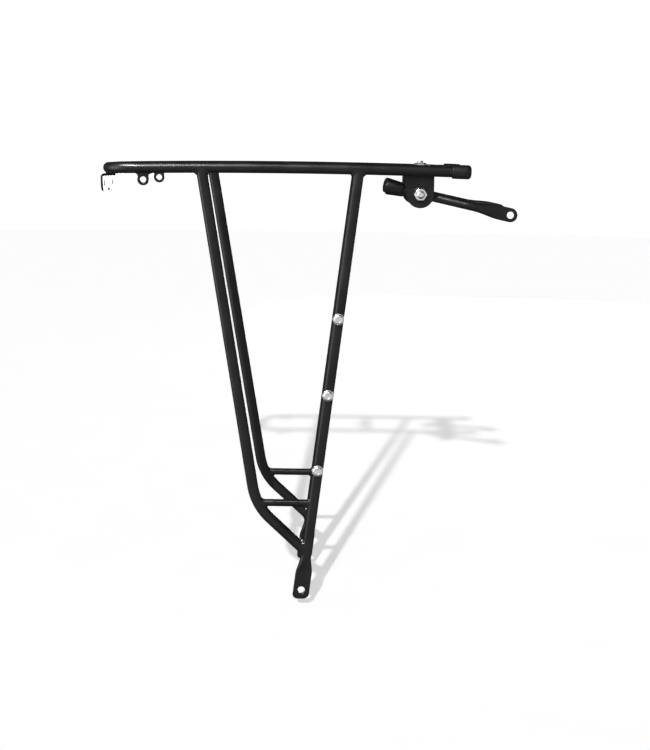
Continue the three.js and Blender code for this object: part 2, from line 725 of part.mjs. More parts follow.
function addSide(sideName, side) {
  addPiece(`${sideName}_rear_leg`, rearLeg(side), paint);
  addPiece(`${sideName}_front_leg`, frontLeg(side), paint);
  addPiece(`${sideName}_leg_brace`, legBrace(side), paint);
  addPiece(`${sideName}_bungee_eyelet`, bungeeEyelet(side), paint);
  addPiece(`${sideName}_rail_end_cap`, railEndCap(side), rubber);
  for (let index = 0; index < BOSS_COUNT; index += 1) {
    addAccessoryPoint(sideName, side, index);
  }
  addPiece(`${sideName}_eyebolt`, eyebolt(side), zinc);
  addPiece(`${sideName}_stay_spacer`, clampPiece(staySpacer(), side), zinc);
  addPiece(`${sideName}_stay_washer`, clampPiece(stayWasher(), side), paint);
  addPiece(`${sideName}_stay_nut`, clampPiece(stayNut(), side), zinc);
  addPiece(`${sideName}_stay`, stay(side), paint);
  addPiece(`${sideName}_stay_end_cap`, stayEndCap(side), rubber);
}

addPiece("deck_hoop", deckHoop(), paint);
addPiece("mid_cross_tube", midCrossTube(), paint);
addPiece("fender_eyelet", fenderEyelet(), paint);
addPiece("light_bracket", lightBracket(), paint);
addPiece("stay_bridge", stayBridge(), paint);
addPiece("fender_bolt", fenderBolt(), zinc);
addPiece("fender_upper_washer", fenderWasher(BRIDGE_TOP_Z + GAP), zinc);
addPiece("fender_lower_washer", fenderWasher(BRIDGE_UNDERSIDE_Z - GAP - M6_WASHER_THICKNESS), zinc);
addPiece("fender_nut", hexNut(FENDER_NUT_Z).translate(SLOT_X, 0, 0), zinc);
addSide("right", -1);
addSide("left", 1);

export default rack;
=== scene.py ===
"""Looks for the rear luggage rack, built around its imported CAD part.

A finer mesh stands for every CAD node, and weld beads are added where the real rack is welded. Tube ends
run on into the tube that they are welded to, and eyelets get fillets, so those are larger than their
nodes. Shapes are worked out in millimetres, in the CAD frame: X forward,
Y to the rider's left, Z up, origin midway between the foot holes. They turn into metres in add_piece. The
stage, the lamps and the camera are in metres.
"""

import json
import math

import bmesh
import bpy
from mathutils import Matrix, Vector


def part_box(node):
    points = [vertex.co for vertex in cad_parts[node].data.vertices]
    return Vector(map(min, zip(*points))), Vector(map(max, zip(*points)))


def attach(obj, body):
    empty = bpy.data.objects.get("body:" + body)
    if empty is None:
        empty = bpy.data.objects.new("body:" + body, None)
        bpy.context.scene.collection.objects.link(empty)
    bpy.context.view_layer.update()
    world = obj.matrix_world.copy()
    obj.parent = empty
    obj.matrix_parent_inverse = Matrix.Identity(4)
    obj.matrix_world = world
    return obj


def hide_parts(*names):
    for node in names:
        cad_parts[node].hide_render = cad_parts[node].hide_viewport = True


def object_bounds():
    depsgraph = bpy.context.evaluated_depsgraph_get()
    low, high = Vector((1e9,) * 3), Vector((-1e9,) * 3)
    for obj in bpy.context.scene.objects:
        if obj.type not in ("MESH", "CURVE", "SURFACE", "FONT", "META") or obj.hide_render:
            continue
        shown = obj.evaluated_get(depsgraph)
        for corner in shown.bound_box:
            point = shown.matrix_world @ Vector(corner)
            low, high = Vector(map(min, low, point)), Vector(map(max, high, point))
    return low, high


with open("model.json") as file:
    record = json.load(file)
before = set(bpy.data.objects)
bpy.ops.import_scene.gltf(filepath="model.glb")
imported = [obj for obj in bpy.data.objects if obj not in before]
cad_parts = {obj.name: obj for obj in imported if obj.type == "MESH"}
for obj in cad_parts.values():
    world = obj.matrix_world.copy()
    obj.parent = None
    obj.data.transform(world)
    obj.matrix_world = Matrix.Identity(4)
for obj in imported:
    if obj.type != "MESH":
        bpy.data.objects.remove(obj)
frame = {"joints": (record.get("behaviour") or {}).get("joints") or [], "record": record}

cad_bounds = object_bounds()
MM = 0.001
SIDES = {"right": -1, "left": 1}
UP = Vector((0, 0, 1))
LEFT = Vector((0, 1, 0))
FORWARD = Vector((1, 0, 0))


# ---------------------------------------------------------------- places, from the frame

def corners(node):
    """Lowest and highest corner of a CAD node, in millimetres."""
    low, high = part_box(node)
    return low / MM, high / MM


def middle(node):
    low, high = corners(node)
    return (low + high) / 2


def joint_place(name):
    """Point of a joint's axis, in millimetres."""
    joint = next(j for j in frame["joints"] if j["name"] == name)
    return Vector(joint["pos_m"]) / MM


# ---------------------------------------------------------------- driving dimensions, millimetres

TUBE_R = 5.0
HOOP_LOW, HOOP_HIGH = corners("deck_hoop")
RAIL_Y = HOOP_HIGH.y - TUBE_R
REAR_END_X = HOOP_LOW.x + TUBE_R
RAIL_TIP_X = HOOP_HIGH.x
DECK_HEIGHT = 384.4              # tube centre at the crown of the deck
CROWN_X = -21.0
CAMBER = 0.75 / 100 ** 2
HOOP_CORNER_R = 30.0
CROSS_TUBE_X = middle("mid_cross_tube").x

FOOT_Y = 69.4
REAR_LEG_TOP_X = -93.0
KNEE_X = -42.5
KNEE_Z = 79.0
KNEE_BEND_R = 52.0
REAR_LEG_END_Z = 35.6
FRONT_LEG_TOP_X = 47.7
BRACE_R = 3.3
BRACE_Z = 81.2

FOOT_HALF_WIDTH = 7.6
FOOT_HALF_THICKNESS = 1.8
FOOT_PRESS_TOP = 31.0
FOOT_FLAT_TOP = 15.0
FOOT_BOTTOM = -8.4
FOOT_CORNER_R = 4.6
FOOT_HOLE_R = 3.3

BOSS_COUNT = 3
BOSS_R = 4.4
BOSS_BORE_R = 2.6
BOSS_HOLE_INSET = 0.5            # the leg's hole is this much smaller than the boss in radius
SCREW_HEAD_R = 4.5
SCREW_SHANK_R = 2.2
SCREW_SOCKET_FLATS = 4.0
SCREW_SOCKET_DEPTH = 2.2
SCREW_PITCH = 0.8
SCREW_DOME_SHARE = 0.55          # share of the head's height that is domed

EYELET_R = 5.25
EYELET_HOLE_R = 2.75
EYELET_THICKNESS = 3.0
EYELET_FILLET_R = 3.0            # weld fillets that flow from the ring into the tube

BRACKET_THICKNESS = 2.0
BRACKET_BEND_R = 3.0
BRACKET_CORNER_R = 9.0
BRACKET_NOTCH_R = 9.0
BRACKET_NOTCH_DEPTH = 3.0
BRACKET_FLANGE_CORNER_R = 3.0
BRACKET_INNER_CORNER_R = 1.5
BRACKET_FLANGE_HALF_WIDTH = 28.0
LIGHT_HOLE_Y = 25.0
LIGHT_HOLE_Z = 368.3
LIGHT_HOLE_R = 2.75

BRIDGE_THICKNESS = 2.6
BRIDGE_BEND_R = 4.0
SLOT_HALF_LENGTH = 25.0
SLOT_R = 3.3

M6_R = 3.0
M6_PITCH = 1.0
M6_FLATS = 10.0
M6_NUT_BORE_R = 3.3
M6_HEAD_HEIGHT = 4.0
NUT_SINK = 0.5                   # countersink at both ends of a nut's bore

STAY_R = 4.0
STAY_DROP = math.radians(12.2)
STAY_TOE = math.radians(14)
STAY_REAR = -28.0
STAY_BEND_AT = 46.0
STAY_BEND_R = 30.0
STAY_HOLE_AT = 83.1
STAY_PRESS_FROM = 50.0
STAY_FLAT_FROM = 74.0
STAY_END_R = 6.4
STAY_HALF_THICKNESS = 1.3
STAY_HOLE_R = 3.2
EYE_R = 7.4
EYE_HALF_WIDTH = 4.0

RAIL_CAP_R = 6.3
STAY_CAP_LENGTH = 16.6
STAY_CAP_FRONT_R = 5.9
STAY_CAP_REAR_R = 7.2

WELD_LEG = 2.1                   # leg length of a weld between main tubes
BRACE_WELD_LEG = 1.6
BOSS_WELD_LEG = 0.8
WELD_FIT = 0.05                  # the bead starts this far inside the branch tube's surface
WELD_RIPPLE = 1.5                # distance between weld ripples
WELD_SINK = 0.2                  # how far a bead's edges lie inside the metal

ROUND = 40                       # sides of a main tube
FINE_ROUND = 64                  # sides of turned parts


def deck_z(x):
    return DECK_HEIGHT - CAMBER * (x - CROWN_X) ** 2


def side_y(z):
    """Both legs of one side spread outward towards the vertical feet."""
    spread = (FOOT_Y - RAIL_Y) / (DECK_HEIGHT - FOOT_FLAT_TOP)
    return FOOT_Y - spread * max(0.0, z - FOOT_FLAT_TOP)


def side_point(x, z, side):
    return Vector((x, side * side_y(z), z))


def front_leg_x(z):
    return FRONT_LEG_TOP_X * z / deck_z(FRONT_LEG_TOP_X)


def smoothstep(value, low, high):
    part = min(1.0, max(0.0, (value - low) / (high - low)))
    return part * part * (3 - 2 * part)


def mix(low, high, part):
    return low + (high - low) * part


def curved(start, pull, end, t):
    """Point of a curve that runs from start to end, drawn towards pull."""
    return start * (1 - t) ** 2 + pull * 2 * t * (1 - t) + end * t * t


# ---------------------------------------------------------------- shapes: lists of points and faces

def joined(*shapes):
    points, faces = [], []
    for shape_points, shape_faces in shapes:
        start = len(points)
        points.extend(shape_points)
        faces.extend([i + start for i in face] for face in shape_faces)
    return points, faces


def placed(shape, matrix):
    points, faces = shape
    return [matrix @ p for p in points], faces


def skin(rings, closes=False):
    """Skin over rings of equal length; closes joins the last ring to the first, else ends are capped."""
    count = len(rings[0])
    points = [p for ring in rings for p in ring]
    faces = []
    pairs = len(rings) if closes else len(rings) - 1
    for i in range(pairs):
        here = i * count
        there = (i + 1) % len(rings) * count
        for k in range(count):
            n = (k + 1) % count
            faces.append([here + k, here + n, there + n, there + k])
    if not closes:
        last = (len(rings) - 1) * count
        faces.append(list(range(count))[::-1])
        faces.append(list(range(last, last + count)))
    return points, faces


def circle(radius, sides=ROUND):
    steps = [2 * math.pi * (k + 0.5) / sides for k in range(sides)]
    return [(radius * math.cos(a), radius * math.sin(a)) for a in steps]


def stadium(half_width, half_thickness, sides=ROUND):
    """Flattened tube section: two half circles and the flats between them; a circle if both are equal."""
    radius = min(half_width, half_thickness)
    reach = half_width - radius
    section = []
    for across, up in circle(radius, sides):
        section.append((across + math.copysign(reach, across), up))
    return section


def sweep(points, section, guide):
    """Skin along points; section(i) gives (across, up) pairs and guide is near the up direction."""
    rings = []
    for i, point in enumerate(points):
        before = points[max(i - 1, 0)]
        after = points[min(i + 1, len(points) - 1)]
        along = (after - before).normalized()
        across = along.cross(guide).normalized()
        up = across.cross(along)
        rings.append([point + across * a + up * b for a, b in section(i)])
    return skin(rings)


def rounded_corner(before, corner, after, radius, steps):
    """Points of an arc that rounds the corner between two straight runs."""
    into = (before - corner).normalized()
    out = (after - corner).normalized()
    half = into.angle(out) / 2
    reach = radius / math.tan(half)
    centre = corner + (into + out).normalized() * (radius / math.sin(half))
    start = corner + into * reach - centre
    end = corner + out * reach - centre
    turn = start.angle(end)
    axis = start.cross(end).normalized()
    return [centre + Matrix.Rotation(turn * i / steps, 3, axis) @ start for i in range(steps + 1)]


def value_at(value, angle):
    return value(angle) if callable(value) else value


def turned(profile, sides=FINE_ROUND, closes=False):
    """Rings about Z from (radius, height) pairs, either of which may be a function of the angle."""
    angles = [2 * math.pi * k / sides for k in range(sides)]
    rings = []
    for radius, height in profile:
        ring = []
        for a in angles:
            r = value_at(radius, a)
            ring.append(Vector((r * math.cos(a), r * math.sin(a), value_at(height, a))))
        rings.append(ring)
    return skin(rings, closes)


def round_edge(radius, height, edge, out, up, steps=3):
    """Profile points of a rounded edge; out and up are +1 or -1 and say where the corner points."""
    points = []
    for i in range(steps + 1):
        a = math.pi / 2 * i / steps
        points.append((radius - out * edge * (1 - math.cos(a)), height - up * edge * (1 - math.sin(a))))
    return points


def turned_ring(inner, outer, bottom, top, edge=0.3):
    """Washer or sleeve with rounded edges."""
    profile = [
        *round_edge(outer, bottom, edge, 1, -1)[::-1],
        *round_edge(outer, top, edge, 1, 1),
        *round_edge(inner, top, edge, -1, 1)[::-1],
        *round_edge(inner, bottom, edge, -1, -1),
    ]
    return turned(profile, closes=True)


def hexagon(flats, corner_cut=0.0):
    """Radius of a hexagon, as a function of the angle, with flats at the top and bottom of +Y and -Y."""
    def radius(angle):
        part = (angle + math.pi / 6) % (math.pi / 3) - math.pi / 6
        from_flat = math.pi / 6 - abs(part)
        return min(flats / 2 / math.cos(from_flat), flats / math.sqrt(3) - corner_cut)
    return radius


def hex_end(flats, height, direction):
    """Height of a nut's end face at a hexagon's edge: its corners are chamfered by 30 degrees."""
    edge = hexagon(flats)
    start = flats / 2 * 0.95
    return lambda angle: height - direction * max(0.0, edge(angle) - start) * math.tan(math.radians(30))


def nut(bottom, top, bore=M6_NUT_BORE_R, flats=M6_FLATS):
    circle_r = flats / 2 * 0.95
    profile = [
        (bore + NUT_SINK, bottom),
        (circle_r, bottom),
        (hexagon(flats), hex_end(flats, bottom, -1)),
        (hexagon(flats), hex_end(flats, top, 1)),
        (circle_r, top),
        (bore + NUT_SINK, top),
        (bore, top - NUT_SINK),
        (bore, bottom + NUT_SINK),
    ]
    return turned(profile, 72, closes=True)


def thread(bottom, top, radius=M6_R, pitch=M6_PITCH):
    """Threaded rod about Z whose crests follow a helix and fade out into a chamfered tip."""
    depth = 0.6 * pitch
    steps = int(round((top - bottom) / (pitch / 8)))

    def crest(height):
        fade = min(1.0, max(0.0, (top - height) / pitch))
        tip_radius = radius - 0.95 * pitch * (1 - fade)

        def at(angle):
            phase = (height / pitch - angle / (2 * math.pi)) % 1.0
            groove = depth * (1 - abs(2 * phase - 1))
            return tip_radius - groove * fade
        return at

    heights = [mix(bottom, top, i / steps) for i in range(steps + 1)]
    return turned([(0, bottom)] + [(crest(h), h) for h in heights] + [(0, top)], 48)


def outward(side, place):
    """Matrix for parts made about Z that face outward on one side of the rack."""
    turn = Matrix.Rotation(-side * math.pi / 2, 4, "X")
    return Matrix.Translation(place) @ turn


# ---------------------------------------------------------------- shapes that Blender cuts or fills

def to_mesh(shape, name, scale=1.0):
    """Mesh with merged points, faces pointing out and no slivers."""
    points, faces = shape
    mesh = bpy.data.meshes.new(name)
    mesh.from_pydata([p * scale for p in points], [], faces)
    work = bmesh.new()
    work.from_mesh(mesh)
    bmesh.ops.remove_doubles(work, verts=work.verts, dist=1e-4 * scale)
    bmesh.ops.dissolve_degenerate(work, edges=work.edges, dist=1e-5 * scale)
    bmesh.ops.recalc_face_normals(work, faces=work.faces)
    work.to_mesh(mesh)
    work.free()
    return mesh


def from_mesh(mesh):
    points = [v.co.copy() for v in mesh.vertices]
    return points, [list(p.vertices) for p in mesh.polygons]


def cut(shape, *cutters):
    """The shape with others taken away from it."""
    base = bpy.data.objects.new("base", to_mesh(shape, "base"))
    tool = bpy.data.objects.new("tool", to_mesh(joined(*cutters), "tool"))
    for made in (base, tool):
        bpy.context.scene.collection.objects.link(made)
    change = base.modifiers.new("cut", "BOOLEAN")
    change.operation = "DIFFERENCE"
    change.solver = "EXACT"
    change.object = tool
    depsgraph = bpy.context.evaluated_depsgraph_get()
    result = from_mesh(base.evaluated_get(depsgraph).to_mesh())
    for made in (base, tool):
        mesh = made.data
        bpy.data.objects.remove(made)
        bpy.data.meshes.remove(mesh)
    return result


def hole_cutter(radius, half_thickness, edge=0.4):
    """Cutter about Z for a hole whose rims are chamfered where they meet the faces."""
    over = half_thickness + 1
    profile = [
        (0, -over),
        (radius + edge + 1, -over),
        (radius, edge - half_thickness),
        (radius, half_thickness - edge),
        (radius + edge + 1, over),
        (0, over),
    ]
    return turned(profile, 48)


def arc_points(centre, radius, start, end, steps):
    turns = [mix(start, end, i / steps) for i in range(steps + 1)]
    return [(centre[0] + radius * math.cos(a), centre[1] + radius * math.sin(a)) for a in turns]


def plate(loops, thickness, edge):
    """Flat plate centred on Z 0 from an outline and its holes, with rounded edges."""
    curve = bpy.data.curves.new("plate", "CURVE")
    curve.dimensions = "2D"
    curve.fill_mode = "BOTH"
    curve.extrude = thickness / 2 - edge
    curve.bevel_depth = edge
    curve.bevel_resolution = 2
    curve.offset = -edge
    for loop in loops:
        spline = curve.splines.new("POLY")
        spline.points.add(len(loop) - 1)
        for point, (u, v) in zip(spline.points, loop):
            point.co = (u, v, 0, 1)
        spline.use_cyclic_u = True
    carrier = bpy.data.objects.new("plate", curve)
    shape = from_mesh(carrier.to_mesh())
    bpy.data.objects.remove(carrier)
    bpy.data.curves.remove(curve)
    return shape


def sliced(shape, heights):
    """The shape with edges added where it crosses these Y values, so that it can bend there."""
    mesh = to_mesh(shape, "sliced")
    work = bmesh.new()
    work.from_mesh(mesh)
    for height in heights:
        geometry = work.verts[:] + work.edges[:] + work.faces[:]
        bmesh.ops.bisect_plane(work, geom=geometry, plane_co=(0, height, 0), plane_no=(0, 1, 0))
    work.to_mesh(mesh)
    work.free()
    shape = from_mesh(mesh)
    bpy.data.meshes.remove(mesh)
    return shape


def fold(length, offset, straight, radius):
    """Path of a strip that runs straight, then turns 90 degrees: (along, down) of a point.

    length is measured on the strip's middle, offset away from it on the outer side of the fold.
    """
    turn = math.pi / 2 * radius
    if length <= straight:
        return length, -offset
    if length <= straight + turn:
        angle = (length - straight) / radius
        out = (radius + offset) * math.sin(angle)
        return straight + out, radius - (radius + offset) * math.cos(angle)
    return straight + radius + offset, radius + length - straight - turn


# ---------------------------------------------------------------- weld beads

def saddle_weld(main_point, main_axis, main_r, branch_point, branch_axis, branch_r, leg, closed_steps=120):
    """Bead round a branch tube where it leaves a main tube; branch_axis points away from the main."""
    m = main_axis.normalized()
    b = branch_axis.normalized()
    u = b.cross(m).normalized()
    v = b.cross(u)
    ripples = max(8, round(2 * math.pi * branch_r / WELD_RIPPLE))
    rings = []
    for k in range(closed_steps):
        angle = 2 * math.pi * k / closed_steps
        radial = u * math.cos(angle) + v * math.sin(angle)
        start = branch_point + radial * branch_r - main_point
        start_across = start - m * start.dot(m)
        b_across = b - m * b.dot(m)
        half = start_across.dot(b_across)
        size = b_across.length_squared
        inside = half * half - size * (start_across.length_squared - main_r ** 2)
        reach = (-half + math.sqrt(max(0.0, inside))) / size
        root = main_point + start + b * reach
        main_out = (start_across + b_across * reach).normalized()
        ripple = math.sin(ripples * angle)
        reach_out = leg * (1 + 0.07 * ripple)
        on_main = (radial - main_out * radial.dot(main_out)).normalized()
        on_branch = (main_out - radial * main_out.dot(radial)).normalized()
        low = root + on_main * reach_out
        along = (low - main_point).dot(m)
        axis_point = main_point + m * along
        low = axis_point + (low - axis_point).normalized() * (main_r - WELD_SINK)
        high = root + on_branch * reach_out
        along = (high - branch_point).dot(b)
        axis_point = branch_point + b * along
        high = axis_point + (high - axis_point).normalized() * (branch_r - WELD_SINK)
        crown = root + (on_main + on_branch) * leg * (0.52 + 0.1 * ripple)
        deep = root - (main_out + radial) * 0.5
        rings.append([curved(low, crown, high, i / 5) for i in range(6)] + [deep])
    return skin(rings, closes=True)


def straight_weld(start, end, radius):
    """Rippled bead along a straight seam, rounded at both ends."""
    length = (end - start).length
    steps = int(length / (WELD_RIPPLE / 6))
    points = [start.lerp(end, i / steps) for i in range(steps + 1)]

    def section(i):
        along = length * i / steps
        from_end = min(along, length - along)
        fade = math.sqrt(min(1.0, max(0.02, from_end / radius)) * (2 - min(1.0, from_end / radius)))
        ripple = 1 + 0.08 * math.sin(2 * math.pi * along / WELD_RIPPLE)
        return circle(radius * fade * ripple, 16)

    guide = UP if abs((end - start).normalized().z) < 0.9 else LEFT
    return sweep(points, section, guide)


# ---------------------------------------------------------------- materials

def node_material(name):
    material = bpy.data.materials.new(name)
    material.use_nodes = True
    tree = material.node_tree
    shader = tree.nodes["Principled BSDF"]
    coordinates = tree.nodes.new("ShaderNodeTexCoord")
    return material, tree, shader, coordinates.outputs["Object"]


def noise(tree, place, size_mm, detail=3.0, roughness=0.5, stretch=(1, 1, 1)):
    """Noise whose features are about size_mm across; a stretch above 1 lengthens them along an axis."""
    mapping = tree.nodes.new("ShaderNodeMapping")
    mapping.inputs["Scale"].default_value = [1 / s for s in stretch]
    tree.links.new(place, mapping.inputs["Vector"])
    texture = tree.nodes.new("ShaderNodeTexNoise")
    texture.inputs["Scale"].default_value = 1 / (size_mm * MM)
    texture.inputs["Detail"].default_value = detail
    texture.inputs["Roughness"].default_value = roughness
    tree.links.new(mapping.outputs["Vector"], texture.inputs["Vector"])
    return texture.outputs["Fac"]


def ramp(tree, value, stops):
    """Colour ramp with (position, colour) stops; a single number is a grey."""
    node = tree.nodes.new("ShaderNodeValToRGB")
    elements = node.color_ramp.elements
    while len(elements) < len(stops):
        elements.new(0.5)
    for element, (position, colour) in zip(elements, stops):
        element.position = position
        element.color = (*colour, 1) if isinstance(colour, tuple) else (colour, colour, colour, 1)
    tree.links.new(value, node.inputs["Fac"])
    return node.outputs["Color"]


def remapped(tree, value, low, high, from_low=0.3, from_high=0.7):
    node = tree.nodes.new("ShaderNodeMapRange")
    node.inputs["From Min"].default_value = from_low
    node.inputs["From Max"].default_value = from_high
    node.inputs["To Min"].default_value = low
    node.inputs["To Max"].default_value = high
    tree.links.new(value, node.inputs["Value"])
    return node.outputs["Result"]


def combined(tree, operation, first, second):
    node = tree.nodes.new("ShaderNodeMath")
    node.operation = operation
    for socket, value in zip(node.inputs, (first, second)):
        if isinstance(value, float):
            socket.default_value = value
        else:
            tree.links.new(value, socket)
    return node.outputs["Value"]


def add_bump(tree, shader, layers):
    """Chain of bump layers, each (height value, depth in mm, strength)."""
    normal = None
    for height, depth_mm, strength in layers:
        bump = tree.nodes.new("ShaderNodeBump")
        bump.inputs["Distance"].default_value = depth_mm * MM
        bump.inputs["Strength"].default_value = strength
        tree.links.new(height, bump.inputs["Height"])
        if normal is not None:
            tree.links.new(normal, bump.inputs["Normal"])
        normal = bump.outputs["Normal"]
    tree.links.new(normal, shader.inputs["Normal"])


def black_paint():
    """Half-gloss black powder coat: orange peel, faint thick and thin spots, a few dust nibs and scuffs."""
    material, tree, shader, place = node_material("black_powder_coat")
    cloud = noise(tree, place, 26, 4)
    peel = noise(tree, place, 1.5, 2, 0.45)
    grain = noise(tree, place, 0.35, 2)
    scuff = noise(tree, place, 1.2, 3, 0.6, stretch=(9, 1, 7))
    nibs = tree.nodes.new("ShaderNodeTexVoronoi")
    nibs.inputs["Scale"].default_value = 1 / (7 * MM)
    tree.links.new(place, nibs.inputs["Vector"])
    nib = remapped(tree, nibs.outputs["Distance"], 1, 0, 0.02, 0.05)
    tone = ramp(tree, cloud, [(0.3, (0.0045, 0.0046, 0.005)), (0.7, (0.0095, 0.0095, 0.01))])
    tree.links.new(tone, shader.inputs["Base Color"])
    gloss = remapped(tree, cloud, 0.27, 0.37)
    worn = remapped(tree, scuff, 0, 0.1, 0.62, 0.75)
    tree.links.new(combined(tree, "ADD", gloss, worn), shader.inputs["Roughness"])
    shader.inputs["Specular IOR Level"].default_value = 0.22
    add_bump(tree, shader, [(peel, 0.03, 0.25), (grain, 0.012, 0.25), (nib, 0.05, 0.3)])
    return material


def zinc_steel():
    """Bright zinc plate: cool and warm tints, faint drawn marks, slightly dull specks in the plating."""
    material, tree, shader, place = node_material("bright_zinc")
    cloud = noise(tree, place, 3.5, 3)
    marks = noise(tree, place, 0.3, 2, 0.6, stretch=(1, 8, 1))
    speck = noise(tree, place, 0.6, 4, 0.65)
    tone = ramp(tree, cloud, [
        (0.3, (0.84, 0.86, 0.9)),
        (0.5, (0.93, 0.93, 0.93)),
        (0.72, (0.92, 0.89, 0.82)),
    ])
    tree.links.new(tone, shader.inputs["Base Color"])
    shader.inputs["Metallic"].default_value = 1.0
    dull = remapped(tree, speck, 0, 0.1, 0.5, 0.75)
    finish = combined(tree, "ADD", remapped(tree, marks, 0.18, 0.28), dull)
    tree.links.new(finish, shader.inputs["Roughness"])
    add_bump(tree, shader, [(marks, 0.01, 0.2), (speck, 0.01, 0.12)])
    return material


def black_rubber():
    """Moulded black rubber: half dull, a little cloudy, with a fine grain."""
    material, tree, shader, place = node_material("moulded_rubber")
    cloud = noise(tree, place, 9, 4)
    grain = noise(tree, place, 0.28, 3, 0.7)
    tone = ramp(tree, cloud, [(0.3, (0.005, 0.005, 0.0055)), (0.7, (0.011, 0.011, 0.0115))])
    tree.links.new(tone, shader.inputs["Base Color"])
    tree.links.new(remapped(tree, cloud, 0.36, 0.46), shader.inputs["Roughness"])
    shader.inputs["Specular IOR Level"].default_value = 0.14
    add_bump(tree, shader, [(grain, 0.04, 0.35), (cloud, 0.05, 0.2)])
    return material


MATERIALS = {"black_paint": black_paint(), "zinc_steel": zinc_steel(), "black_rubber": black_rubber()}
NODE_SLOT = {row["node"]: row["material_slot"] for row in frame["record"]["subparts"]}
NODE_BODY = {n: body for body, nodes in frame["record"]["behaviour"]["bodies"].items() for n in nodes}


# ---------------------------------------------------------------- adding pieces

SHARP_ANGLE = math.radians(38)


def add_piece(name, shape, body, slot, nodes=()):
    """Makes a mesh piece in metres, gives it its finish, ties it to its CAD body and hides the nodes it
    stands for.
    """
    mesh = to_mesh(shape, name, MM)
    mesh.shade_smooth()
    mesh.set_sharp_from_angle(angle=SHARP_ANGLE)
    mesh.materials.append(MATERIALS[slot])
    piece = bpy.data.objects.new(name, mesh)
    bpy.context.scene.collection.objects.link(piece)
    weighted = piece.modifiers.new("flat_faces_stay_flat", "WEIGHTED_NORMAL")
    weighted.keep_sharp = True
    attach(piece, body)
    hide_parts(*nodes)
    return piece


def stand_for(node, shape):
    """Adds the fine piece that stands for one CAD node."""
    return add_piece(node + "_fine", shape, NODE_BODY[node], NODE_SLOT[node], [node])


def add_weld(name, shape):
    return add_piece("weld_" + name, shape, "rack", "black_paint")


# ---------------------------------------------------------------- deck

def rail_points(side, start, end, step=12.0):
    count = max(1, round(abs(end - start) / step))
    values = [mix(start, end, i / count) for i in range(count + 1)]
    return [Vector((x, side * RAIL_Y, deck_z(x))) for x in values]


def hoop_corner(side):
    along = Vector((0, side * RAIL_Y, 0))
    corner = Vector((REAR_END_X, side * RAIL_Y, 0))
    across = Vector((REAR_END_X, 0, 0))
    arc = rounded_corner(along, corner, across, HOOP_CORNER_R, 18)
    return [Vector((p.x, p.y, deck_z(p.x))) for p in arc]


def deck_hoop():
    straight_end = REAR_END_X + HOOP_CORNER_R + 1
    right = rail_points(-1, RAIL_TIP_X, straight_end) + hoop_corner(-1)
    left = rail_points(1, RAIL_TIP_X, straight_end) + hoop_corner(1)
    return sweep(right + left[::-1], lambda i: circle(TUBE_R), UP)


def mid_cross_tube():
    z = deck_z(CROSS_TUBE_X)
    ends = [Vector((CROSS_TUBE_X, y, z)) for y in (-RAIL_Y, -RAIL_Y / 2, RAIL_Y / 2, RAIL_Y)]
    return sweep(ends, lambda i: circle(TUBE_R), UP)


def make_deck():
    stand_for("deck_hoop", deck_hoop())
    stand_for("mid_cross_tube", mid_cross_tube())
    for name, side in SIDES.items():
        place = Vector((CROSS_TUBE_X, side * RAIL_Y, deck_z(CROSS_TUBE_X)))
        add_weld(name + "_cross_tube", tube_weld(place, FORWARD, -side * LEFT))


# ---------------------------------------------------------------- legs

def rear_leg_points(side):
    top = side_point(REAR_LEG_TOP_X, deck_z(REAR_LEG_TOP_X), side)
    knee = side_point(KNEE_X, KNEE_Z, side)
    end = side_point(front_leg_x(REAR_LEG_END_Z), REAR_LEG_END_Z, side)
    arc = rounded_corner(top, knee, end, KNEE_BEND_R, 14)
    return [top, *[top.lerp(arc[0], i / 6) for i in range(1, 6)], *arc, end]


def brace_rear_x(side):
    """Where the rear leg's centre line is at the brace's height."""
    points = rear_leg_points(side)
    for upper, lower in zip(points, points[1:]):
        if lower.z <= BRACE_Z <= upper.z:
            return mix(lower.x, upper.x, (BRACE_Z - lower.z) / (upper.z - lower.z))
    return KNEE_X


def foot_flatness(z):
    """0 in the round tube, rising smoothly to 1 in the pressed foot."""
    return 1 - smoothstep(z, FOOT_FLAT_TOP, FOOT_PRESS_TOP)


def foot_section(z):
    below = max(0.0, FOOT_BOTTOM + FOOT_CORNER_R - z)
    inset = FOOT_CORNER_R - math.sqrt(max(0.0, FOOT_CORNER_R ** 2 - below ** 2))
    width = mix(TUBE_R, FOOT_HALF_WIDTH, foot_flatness(z)) - inset
    edge = 0.7
    near_end = max(0.0, FOOT_BOTTOM + edge - z)
    thinner = edge - math.sqrt(max(0.0, edge ** 2 - near_end ** 2))
    thickness = mix(TUBE_R, FOOT_HALF_THICKNESS, foot_flatness(z)) - thinner
    return stadium(width, thickness)


def front_leg(side):
    heights = [FOOT_BOTTOM + FOOT_CORNER_R * (1 - math.cos(math.pi / 2 * i / 12)) for i in range(13)]
    heights += [mix(heights[-1], FOOT_FLAT_TOP, i / 4) for i in range(1, 5)]
    heights += [mix(FOOT_FLAT_TOP, FOOT_PRESS_TOP, i / 16) for i in range(1, 17)]
    heights += [mix(FOOT_PRESS_TOP, deck_z(FRONT_LEG_TOP_X), i / 12) for i in range(1, 13)]
    rings = []
    for z in heights:
        centre = Vector((front_leg_x(z), side * side_y(z), z))
        rings.append([centre + Vector((a, b, 0)) for a, b in foot_section(z)])
    foot_place = outward(side, Vector((0, side * FOOT_Y, 0)))
    foot_hole = placed(hole_cutter(FOOT_HOLE_R, FOOT_HALF_THICKNESS), foot_place)
    radius = BOSS_R - BOSS_HOLE_INSET
    drill = turned([(0, -8), (radius, -8), (radius, 8), (0, 8)])
    boss_holes = [placed(drill, outward(side, place)) for place in boss_places(side)]
    return cut(skin(rings), foot_hole, *boss_holes)


def leg_brace(side):
    ends = [side_point(brace_rear_x(side), BRACE_Z, side), side_point(front_leg_x(BRACE_Z), BRACE_Z, side)]
    return sweep(ends, lambda i: circle(BRACE_R, 32), UP)


